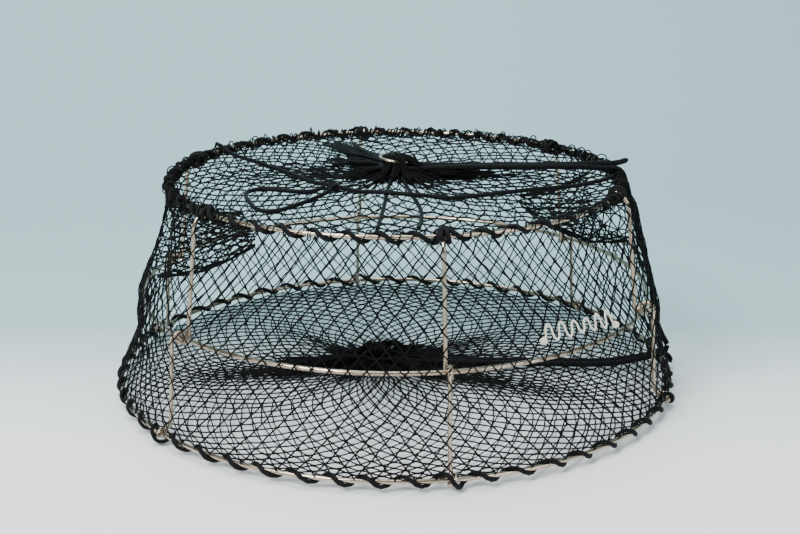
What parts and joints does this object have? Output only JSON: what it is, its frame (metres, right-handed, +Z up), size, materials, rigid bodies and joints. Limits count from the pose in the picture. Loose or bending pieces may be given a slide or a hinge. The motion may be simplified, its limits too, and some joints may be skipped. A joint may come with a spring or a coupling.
{
  "type": "folding crab trap",
  "caption": "Round folding net trap of steel rings on hinged wire struts, lashed netting and a drawcord, that presses down into a flat stack.",
  "frame": {"origin": "on the rings' common axis, on the surface that the trap stands on", "axes": "+Z up along the rings' axis, -Y towards the front of the trap"},
  "size_m": [0.6149, 0.6104, 0.2437],
  "materials": {
    "steel_wire": "polished stainless wire, warm highlights",
    "net_twine": "tarred knotted twine, black",
    "lashing_rope": "black twisted rope",
    "black_cord": "black braided cord",
    "cotton_twine": "natural cotton, undyed"
  },
  "bodies": {
    "base": {"bottom_ring": "steel_wire", "bottom_lashing": "lashing_rope", "bottom_net": "net_twine", "bottom_gather": "net_twine", "drawcord_bottom": "black_cord"},
    "waist": {"side_net": "net_twine", "entrance_right": "net_twine", "entrance_left": "net_twine", "escape_lacing": "cotton_twine", "drawcord_side": "black_cord"},
    "middle_hoop": {"middle_ring": "steel_wire"},
    "neck_ring": {"draw_ring": "steel_wire"},
    "lid": {"top_ring": "steel_wire", "top_lashing": "lashing_rope", "top_net": "net_twine", "top_gather": "net_twine", "drawcord_top": "black_cord", "bridle_left_leg": "black_cord", "bridle_right_leg": "black_cord", "bridle_loop": "black_cord", "bridle_knot": "black_cord", "stay_left": "black_cord", "stay_right": "black_cord"},
    "lower_strut_1": {"lower_strut_1": "steel_wire"},
    "lower_strut_2": {"lower_strut_2": "steel_wire"},
    "lower_strut_3": {"lower_strut_3": "steel_wire"},
    "lower_strut_4": {"lower_strut_4": "steel_wire"},
    "lower_strut_5": {"lower_strut_5": "steel_wire"},
    "lower_strut_6": {"lower_strut_6": "steel_wire"},
    "upper_strut_1": {"upper_strut_1": "steel_wire"},
    "upper_strut_2": {"upper_strut_2": "steel_wire"},
    "upper_strut_3": {"upper_strut_3": "steel_wire"},
    "upper_strut_4": {"upper_strut_4": "steel_wire"},
    "upper_strut_5": {"upper_strut_5": "steel_wire"},
    "upper_strut_6": {"upper_strut_6": "steel_wire"}
  },
  "joints": [
    {"name": "collapse", "type": "slide", "parent": "base", "child": "neck_ring", "axis": [0, 0, 1], "range_m": [-0.168, 0], "deforming": ["side_net", "entrance_right", "entrance_left", "drawcord_side"]},
    {"name": "waist_drop", "type": "slide", "parent": "base", "child": "waist", "axis": [0, 0, 1], "range_m": [-0.0745, 0]},
    {"name": "middle_twist", "type": "hinge", "parent": "waist", "child": "middle_hoop", "pos_m": [0, 0, 0.10372], "axis": [0, 0, 1], "range_deg": [-18.54, 0]},
    {"name": "lid_twist", "type": "hinge", "parent": "neck_ring", "child": "lid", "pos_m": [0, 0, 0.22072], "axis": [0, 0, 1], "range_deg": [0, 7.7]},
    {"name": "lower_strut_1_lean", "type": "hinge", "parent": "base", "child": "lower_strut_1", "pos_m": [0.05157, -0.29249, 0.01072], "axis": [0.0129, -0.9999, 0], "range_deg": [0, 75.83]},
    {"name": "lower_strut_2_lean", "type": "hinge", "parent": "base", "child": "lower_strut_2", "pos_m": [0.27909, -0.10158, 0.01072], "axis": [0.8724, -0.4888, 0], "range_deg": [0, 75.83]},
    {"name": "lower_strut_3_lean", "type": "hinge", "parent": "base", "child": "lower_strut_3", "pos_m": [0.22751, 0.19091, 0.01072], "axis": [0.8595, 0.5112, 0], "range_deg": [0, 75.83]},
    {"name": "lower_strut_4_lean", "type": "hinge", "parent": "base", "child": "lower_strut_4", "pos_m": [-0.05157, 0.29249, 0.01072], "axis": [-0.0129, 0.9999, 0], "range_deg": [0, 75.83]},
    {"name": "lower_strut_5_lean", "type": "hinge", "parent": "base", "child": "lower_strut_5", "pos_m": [-0.27909, 0.10158, 0.01072], "axis": [-0.8724, 0.4888, 0], "range_deg": [0, 75.83]},
    {"name": "lower_strut_6_lean", "type": "hinge", "parent": "base", "child": "lower_strut_6", "pos_m": [-0.22751, -0.19091, 0.01072], "axis": [-0.8595, -0.5112, 0], "range_deg": [0, 75.83]},
    {"name": "upper_strut_1_lean", "type": "hinge", "parent": "lid", "child": "upper_strut_1", "pos_m": [0.04115, -0.2334, 0.22072], "axis": [0.054, 0.9985, 0], "range_deg": [0, 82.17]},
    {"name": "upper_strut_2_lean", "type": "hinge", "parent": "lid", "child": "upper_strut_2", "pos_m": [0.22271, -0.08106, 0.22072], "axis": [-0.8378, 0.546, 0], "range_deg": [0, 82.17]},
    {"name": "upper_strut_3_lean", "type": "hinge", "parent": "lid", "child": "upper_strut_3", "pos_m": [0.18155, 0.15234, 0.22072], "axis": [-0.8918, -0.4525, 0], "range_deg": [0, 82.17]},
    {"name": "upper_strut_4_lean", "type": "hinge", "parent": "lid", "child": "upper_strut_4", "pos_m": [-0.04115, 0.2334, 0.22072], "axis": [-0.054, -0.9985, 0], "range_deg": [0, 82.17]},
    {"name": "upper_strut_5_lean", "type": "hinge", "parent": "lid", "child": "upper_strut_5", "pos_m": [-0.22271, 0.08106, 0.22072], "axis": [0.8378, -0.546, 0], "range_deg": [0, 82.17]},
    {"name": "upper_strut_6_lean", "type": "hinge", "parent": "lid", "child": "upper_strut_6", "pos_m": [-0.18155, -0.15234, 0.22072], "axis": [0.8918, 0.4525, 0], "range_deg": [0, 82.17]}
  ],
  "couplings": [
    {"joint": "waist_drop", "follows": "collapse", "ratio": 0.44286},
    {"joint": "middle_twist", "follows": "collapse", "rad_per_m": 1.9237},
    {"joint": "lid_twist", "follows": "collapse", "rad_per_m": -0.79738},
    {"joint": "lower_strut_1_lean", "follows": "collapse", "rad_per_m": -7.8749},
    {"joint": "lower_strut_2_lean", "follows": "collapse", "rad_per_m": -7.8749},
    {"joint": "lower_strut_3_lean", "follows": "collapse", "rad_per_m": -7.8749},
    {"joint": "lower_strut_4_lean", "follows": "collapse", "rad_per_m": -7.8749},
    {"joint": "lower_strut_5_lean", "follows": "collapse", "rad_per_m": -7.8749},
    {"joint": "lower_strut_6_lean", "follows": "collapse", "rad_per_m": -7.8749},
    {"joint": "upper_strut_1_lean", "follows": "collapse", "rad_per_m": -8.5338},
    {"joint": "upper_strut_2_lean", "follows": "collapse", "rad_per_m": -8.5338},
    {"joint": "upper_strut_3_lean", "follows": "collapse", "rad_per_m": -8.5338},
    {"joint": "upper_strut_4_lean", "follows": "collapse", "rad_per_m": -8.5338},
    {"joint": "upper_strut_5_lean", "follows": "collapse", "rad_per_m": -8.5338},
    {"joint": "upper_strut_6_lean", "follows": "collapse", "rad_per_m": -8.5338}
  ]
}
